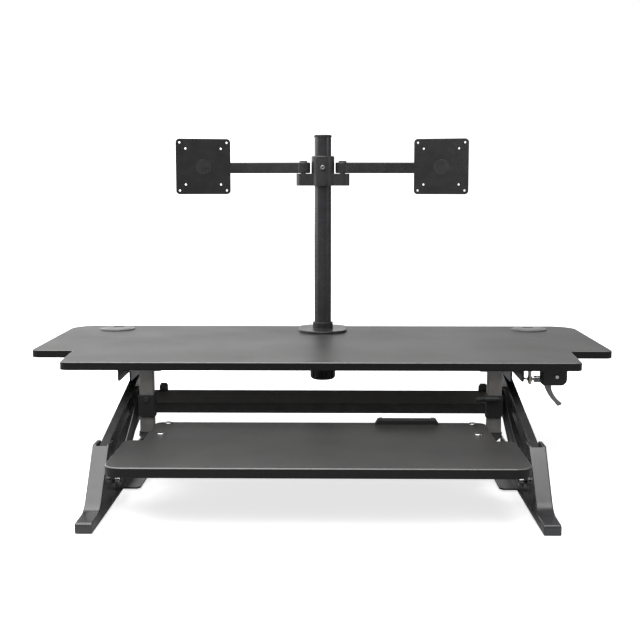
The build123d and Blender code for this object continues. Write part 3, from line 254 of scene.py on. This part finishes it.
MATERIALS = {
    "foot": powder_coat("foot_coat", (0.029, 0.029, 0.031), 0.20, depth=0.00006, specular=0.75),
    "steel": powder_coat("steel_coat", (0.016, 0.016, 0.017), 0.30),
    "arm": powder_coat("arm_coat", (0.024, 0.024, 0.025), 0.24, specular=0.65),
    # painted light: the crossbeam's base colour is raised above the other black steel and its upward faces are
    # tinted pale, standing for light on its top
    "beam": powder_coat("beam_coat", (0.045, 0.044, 0.043), 0.42, painted_top_light=(0.34, 0.33, 0.32)),
    # painted light: the hangers are black steel like the rest; their base colour is raised well above it to
    # stand for the light they catch
    "post": powder_coat("post_coat_painted_light", (0.125, 0.120, 0.115), 0.30),
    "pole": powder_coat("pole_coat", (0.022, 0.022, 0.024), 0.22, specular=0.7),
    "laminate": laminate(),
    "band": edge_band(),
    "arris": arris(),
    "plastic": moulded("black_plastic", (0.014, 0.014, 0.015), 0.42),
    "grommet": moulded("grommet_plastic", (0.085, 0.085, 0.084), 0.30),
    "lever": powder_coat("lever_coat", (0.100, 0.101, 0.106), 0.24, specular=0.8),
    "zinc": bright_metal("zinc_plate", (0.50, 0.49, 0.46), 0.28),
    "chrome": bright_metal("chrome_plate", (0.75, 0.75, 0.76), 0.08, (1, 0.1, 0.1)),
    "brass": bright_metal("brass_nut", (0.62, 0.47, 0.22), 0.25),
    "rubber": rubber(),
    "cable": sheath(),
}

FINISHES = {
    "foot": ["foot_casting_left", "foot_casting_right"],
    "steel": [
        "base_rail_left", "base_rail_right", "rear_base_bar", "platform_rail_left", "platform_rail_right",
        "platform_bar", "tray_brackets", "clamp_plate", "pole_flange", "spring_cylinders",
        "vesa_plate_left", "vesa_plate_right", "spring_lower_pins", "hanger_bolt",
    ],
    "arm": [
        "main_arm_left", "main_arm_right", "link_arm_left", "link_arm_right", "inner_link_left",
        "inner_link_right", "outer_link_left", "outer_link_right", "head_swivel_left", "head_swivel_right",
        "tilt_bracket_left", "tilt_bracket_right", "pole_collar",
    ],
    "beam": ["crossbeam"],
    "post": ["tray_hangers"],
    "pole": ["monitor_pole"],
    "laminate": ["desktop", "keyboard_tray"],
    "plastic": ["hanger_sleeves", "tray_plunger", "tray_stop_bar", "lever_housing", "pole_cap", "clamp_knob"],
    "grommet": ["grommet_rings", "grommet_cap_left", "grommet_cap_right"],
    "lever": ["release_lever"],
    "zinc": [
        "base_screws", "lower_pivot_bolts", "upper_pivot_bolts", "spring_upper_pins",
        "crossbeam_screws", "desktop_screws", "cable_anchor", "clamp_stud",
    ],
    "chrome": ["spring_rods", "tray_bolts", "stop_bar_screws", "lever_pin", "cable_spring"],
    "brass": ["cable_adjuster"],
    "rubber": ["rubber_feet"],
    "cable": ["release_cable"],
}


def paint_nodes():
    for finish, names in FINISHES.items():
        for name in names:
            mesh = nodes[name].data
            mesh.materials.clear()
            mesh.materials.append(MATERIALS[finish])
    # The boards' flats are laminate, their sides are banded and their rounded top edges are glossy, with a
    # paler colour as painted highlight.
    for name in ("desktop", "keyboard_tray"):
        mesh = nodes[name].data
        mesh.materials.append(MATERIALS["band"])
        mesh.materials.append(MATERIALS["arris"])
        for face in mesh.polygons:
            rise = face.normal.z
            face.material_index = 2 if 0.25 < rise < 0.97 else 1 if abs(rise) < 0.75 else 0


paint_nodes()


# ---- Small parts that the CAD leaves out --------------------------------------------------------
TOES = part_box("foot_casting_left")[0].y


def spot(x, back, height):
    """A place given in millimetres: across, behind the toes, and up."""
    return Vector((x * MM, TOES + back * MM, height * MM))


def make_piece(name, build, finish, body, smooth=True):
    shape = bmesh.new()
    build(shape)
    bmesh.ops.recalc_face_normals(shape, faces=shape.faces)
    mesh = bpy.data.meshes.new(name)
    shape.to_mesh(mesh)
    shape.free()
    for face in mesh.polygons:
        face.use_smooth = smooth
    piece = bpy.data.objects.new(name, mesh)
    bpy.context.scene.collection.objects.link(piece)
    mesh.materials.append(MATERIALS[finish])
    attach(piece, body)
    return piece


def skin(shape, rings, closed=False):
    """Joins equal rings of points with quads and caps both ends, or closes the loop."""
    made = [[shape.verts.new(point) for point in ring] for ring in rings]
    following = made[1:] + made[:1] if closed else made[1:]
    for low, high in zip(made, following):
        for i in range(len(low)):
            j = (i + 1) % len(low)
            shape.faces.new((low[i], low[j], high[j], high[i]))
    if not closed:
        shape.faces.new(list(reversed(made[0])))
        shape.faces.new(made[-1])


def frame_of(run):
    side = run.cross(Vector((0, 0, 1)))
    if side.length < 0.1:
        side = run.cross(Vector((1, 0, 0)))
    side.normalize()
    return side, run.cross(side).normalized()


def tube(shape, points, radius, sides=10, ripple=0.0, closed=False):
    rings = []
    for i, point in enumerate(points):
        before = points[i - 1] if i or closed else point
        after = points[(i + 1) % len(points)] if i < len(points) - 1 or closed else point
        side, other = frame_of((after - before).normalized())
        size = radius * MM * (1 + ripple * sin(i * 2.1))
        turns = [2 * pi * k / sides for k in range(sides)]
        rings.append([point + (side * cos(a) + other * sin(a)) * size for a in turns])
    skin(shape, rings, closed)


def turned(shape, start, run, profile, sides=32, ridge=0.0):
    """A turned part: profile rows are (distance along the axis, radius) in millimetres; ridge knurls it."""
    run = Vector(run).normalized()
    side, other = frame_of(run)
    rings = []
    for distance, radius in profile:
        ring = []
        for k in range(sides):
            a = 2 * pi * k / sides
            size = (radius - ridge * (k % 2)) * MM
            ring.append(start + run * distance * MM + (side * cos(a) + other * sin(a)) * size)
        rings.append(ring)
    skin(shape, rings)


def circle(centre, across, up, radius, steps):
    """Points round a centre, in the plane of two directions; the radius is in millimetres."""
    turns = [2 * pi * k / steps for k in range(steps)]
    return [centre + (Vector(across) * cos(a) + Vector(up) * sin(a)) * radius * MM for a in turns]


def weld_loop(shape, centre, width, depth, radius=1.5):
    """A rippled bead round a rectangular tube."""
    corners = [(-1, -1), (1, -1), (1, 1), (-1, 1)]
    points = []
    for (x0, y0), (x1, y1) in zip(corners, corners[1:] + corners[:1]):
        steps = 22 if x0 != x1 else 16
        for k in range(steps):
            t = k / steps
            x = (x0 + (x1 - x0) * t) * width / 2
            y = (y0 + (y1 - y0) * t) * depth / 2
            points.append(centre + Vector((x, y, 0)) * MM)
    tube(shape, points, radius, 8, 0.14, closed=True)


def socket(shape, place, run, size=3.2):
    """A dark six-sided recess, shown as a dished patch on a bolt's head."""
    turned(shape, place, run, [(0, size), (0.25, size), (0.1, size * 0.8), (0.06, size * 0.2)], sides=6)


def bracket_tab(shape, x, back, low, high):
    """A thin upright tab with clipped corners, and a foot turned towards the front."""
    half = 9
    sheet = 2.2
    upright = [
        (-half, low), (half, low), (half, high - 4), (half - 3, high), (4 - half, high), (-half, high - 6),
    ]
    skin(shape, [[spot(x + dx, back + y, z) for dx, z in upright] for y in (0, sheet)])
    foot = [(-half, low), (half, low), (half, low + sheet), (-half, low + sheet)]
    skin(shape, [[spot(x + dx, back + y, z) for dx, z in foot] for y in (-9, 0)])


MATERIALS["weld"] = powder_coat("weld_coat", (0.020, 0.020, 0.021), 0.36, grain=2000, depth=0.0002)
MATERIALS["socket"] = moulded("socket_shadow", (0.004, 0.004, 0.004), 0.6)
MATERIALS["tab"] = powder_coat("tab_coat", (0.060, 0.058, 0.056), 0.35)


# Where the pieces sit on the CAD, in millimetres: across, behind the toes, and up.
POST_X, POST_BACK = 330.5, 355
POST_SIZE = (28.4, 21.4)
POST_TOP, POST_FOOT = 209.8, 91
TRAY_BOLT_X, TRAY_BOLT_BACKS, TRAY_BOLT_TOP = 289.5, (257, 347), 109.95
PIVOT_FACE = 391                                   # outer face of the pivot bolts' heads
LOWER_PIVOTS = [(158, 92.4), (203, 42.4)]
UPPER_PIVOTS = [(558.4, 180.4), (603.4, 130.4)]
TAB_XS = (-333, 338)
CAP_X, CAP_BACK, CAP_TOP = 473, 800, 232.6


def post_welds(shape):
    for x in (-POST_X, POST_X):
        weld_loop(shape, spot(x, POST_BACK, POST_TOP), *POST_SIZE)
        weld_loop(shape, spot(x, POST_BACK, POST_FOOT), *POST_SIZE, 1.2)


def tray_sockets(shape):
    for x in (-TRAY_BOLT_X, TRAY_BOLT_X):
        for back in TRAY_BOLT_BACKS:
            socket(shape, spot(x, back, TRAY_BOLT_TOP), (0, 0, 1))


def pivot_sockets(points):
    def build(shape):
        for side in (-1, 1):
            for back, height in points:
                socket(shape, spot(side * PIVOT_FACE, back, height), (side, 0, 0), 4)
    return build


def plunger_grip(shape):
    turned(shape, spot(304, 335.5, 158), (-1, 0, 0), [(0, 4.6), (0.6, 5.3), (7.4, 5.3), (8, 4.6)], 48, 0.35)


def beam_tabs(shape):
    low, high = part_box("crossbeam")
    back = (high.y - TOES) / MM - 9
    top = high.z / MM - 1.4
    for x in TAB_XS:
        bracket_tab(shape, x, back, top, top + 17)


def cap_ring(side):
    def build(shape):
        centre = spot(side * CAP_X, CAP_BACK, CAP_TOP)
        tube(shape, circle(centre, (1, 0, 0), (0, 1, 0), 13, 48), 0.7, 8, closed=True)
    return build


def collar_screw(shape):
    turned(shape, spot(0, 759.5, 598), (0, -1, 0), [(0, 5), (5, 5), (5.6, 4.4), (5.6, 2.6), (3, 2.2)], 24)


def cable_clip(shape):
    """A saddle clip that holds the release cable against the platform rail."""
    loop = circle(spot(390, 412, 192), (1, 0, 0), (0, 0, 1), 2.6, 20)
    tube(shape, loop, 0.8, 8, closed=True)
    turned(shape, spot(387.6, 412, 199.5), (1, 0, 0), [(0, 3.6), (1.4, 3.6), (2.2, 2.4)], 20)


make_piece("post_welds", post_welds, "weld", "platform")
make_piece("tray_bolt_sockets", tray_sockets, "socket", "platform", smooth=False)
make_piece("foot_bolt_sockets", pivot_sockets(LOWER_PIVOTS), "socket", "base", smooth=False)
make_piece("rail_bolt_sockets", pivot_sockets(UPPER_PIVOTS), "socket", "platform", smooth=False)
make_piece("plunger_grip", plunger_grip, "plastic", "tray_plunger", smooth=False)
make_piece("beam_tabs", beam_tabs, "tab", "link_arms", smooth=False)
for side, tag in ((-1, "left"), (1, "right")):
    make_piece("cap_ring_" + tag, cap_ring(side), "grommet", "grommet_cap_" + tag)
make_piece("collar_screw", collar_screw, "zinc", "pole_collar", smooth=False)
make_piece("cable_clip", cable_clip, "plastic", "platform")


# ---- Stage, light and camera --------------------------------------------------------------------
class Graph:
    """Short names for building a node tree by hand."""

    def __init__(self, tree):
        self.tree = tree

    def node(self, kind, **values):
        node = self.tree.nodes.new("ShaderNode" + kind)
        for key, value in values.items():
            setattr(node, key, value)
        return node

    def math(self, operation, *terms):
        node = self.node("Math", operation=operation)
        for slot, term in zip(node.inputs, terms):
            if isinstance(term, (int, float)):
                slot.default_value = term
            else:
                self.tree.links.new(term, slot)
        return node.outputs[0]


FLOOR_TONE = 0.80
FLOOR_LIFT = 0.72          # white added near the object; it grows to pure white further off
FLOOR_WHITE = 1.2
FLOOR_FADE = (0.65, 1.5)   # where that growth starts and ends, in metres from the origin
FLOOR_IN_GLOSS = 0.30


def make_floor():
    """White sweep: a pale diffuse floor, lifted a little for the camera and dimmer in reflections."""
    bpy.ops.mesh.primitive_plane_add(size=30, location=(0, 0, 0))
    floor = bpy.context.object
    floor.name = "floor"
    material = bpy.data.materials.new("floor_white")
    material.use_nodes = True
    tree = material.node_tree
    tree.nodes.clear()
    graph = Graph(tree)
    path = graph.node("LightPath")
    diffuse = graph.node("BsdfDiffuse")
    diffuse.inputs["Color"].default_value = (FLOOR_TONE, FLOOR_TONE, FLOOR_TONE, 1)
    glow = graph.node("Emission")
    away = graph.node("VectorMath", operation="LENGTH")
    tree.links.new(graph.node("NewGeometry").outputs["Position"], away.inputs[0])
    fade = graph.node("MapRange")
    reach = {"From Min": FLOOR_FADE[0], "From Max": FLOOR_FADE[1], "To Min": FLOOR_LIFT, "To Max": FLOOR_WHITE}
    for slot, value in reach.items():
        fade.inputs[slot].default_value = value
    tree.links.new(away.outputs["Value"], fade.inputs["Value"])
    seen = graph.math("MULTIPLY", path.outputs["Is Camera Ray"], fade.outputs[0])
    tree.links.new(seen, glow.inputs["Strength"])
    lit = graph.node("AddShader")
    tree.links.new(diffuse.outputs[0], lit.inputs[0])
    tree.links.new(glow.outputs[0], lit.inputs[1])
    dim = graph.node("BsdfDiffuse")
    dim.inputs["Color"].default_value = (FLOOR_IN_GLOSS, FLOOR_IN_GLOSS, FLOOR_IN_GLOSS, 1)
    mix = graph.node("MixShader")
    tree.links.new(path.outputs["Is Glossy Ray"], mix.inputs[0])
    tree.links.new(lit.outputs[0], mix.inputs[1])
    tree.links.new(dim.outputs[0], mix.inputs[2])
    output = graph.node("OutputMaterial")
    tree.links.new(mix.outputs[0], output.inputs["Surface"])
    floor.data.materials.append(material)


def make_world():
    """White behind the object; for its reflections a studio that is bright behind and left, dark in front."""
    world = bpy.data.worlds.new("studio")
    bpy.context.scene.world = world
    world.use_nodes = True
    tree = world.node_tree
    graph = Graph(tree)
    background = tree.nodes["Background"]
    background.inputs["Color"].default_value = (1, 1, 1, 1)
    split = graph.node("SeparateXYZ")
    tree.links.new(graph.node("TexCoord").outputs["Generated"], split.inputs[0])
    x, y, z = split.outputs
    behind = graph.math("SMOOTH_MIN", graph.math("MAXIMUM", y, 0.0), 1.0, 0.2)
    leftward = graph.math("MAXIMUM", graph.math("MULTIPLY_ADD", x, -2.4, 1.55), 0.25)
    band = graph.math("SUBTRACT", 1.0, graph.math("MULTIPLY", graph.math("MAXIMUM", z, 0.0), 1.1))
    wall = graph.math("MULTIPLY", behind, leftward)
    back_wall = graph.math("MULTIPLY", wall, graph.math("MAXIMUM", band, 0.15))
    studio = graph.math("ADD", back_wall, 0.06)
    path = graph.node("LightPath")
    fill = graph.math("MULTIPLY_ADD", path.outputs["Is Diffuse Ray"], 0.30, studio)
    tree.links.new(graph.math("MAXIMUM", fill, path.outputs["Is Camera Ray"]), background.inputs["Strength"])


def area_light(name, place, target, size, power):
    light = bpy.data.lights.new(name, "AREA")
    light.shape = "RECTANGLE"
    light.size, light.size_y = size
    light.energy = power
    lamp = bpy.data.objects.new(name, light)
    bpy.context.scene.collection.objects.link(lamp)
    lamp.location = place
    lamp.rotation_mode = "QUATERNION"
    lamp.rotation_quaternion = (Vector(target) - Vector(place)).to_track_quat("-Z", "Y")


CAMERA_AHEAD = 1.7104     # camera in front of the toes
CAMERA_RIGHT = 0.0275
CAMERA_HEIGHT = 0.5556
CAMERA_PITCH = 6.9        # degrees below the horizon
CAMERA_YAW = 0.78
CAMERA_LENS = 61.9


def make_camera():
    data = bpy.data.cameras.new("camera")
    data.lens = CAMERA_LENS
    data.sensor_width = 36
    camera = bpy.data.objects.new("camera", data)
    bpy.context.scene.collection.objects.link(camera)
    camera.location = (CAMERA_RIGHT, TOES - CAMERA_AHEAD, CAMERA_HEIGHT)
    camera.rotation_euler = (radians(90 - CAMERA_PITCH), 0, radians(CAMERA_YAW))
    bpy.context.scene.camera = camera


make_floor()
make_world()
area_light("overhead", (-0.6, -0.6, 2.3), (0, 0, 0.1), (3.6, 3.0), 130)
area_light("left_box", (-2.6, 0.2, 1.0), (0, 0, 0.15), (1.6, 1.6), 14)
area_light("right_box", (2.6, -0.6, 1.2), (0, 0, 0.15), (1.2, 1.4), 8)
bpy.context.scene.view_settings.view_transform = "Standard"
make_camera()
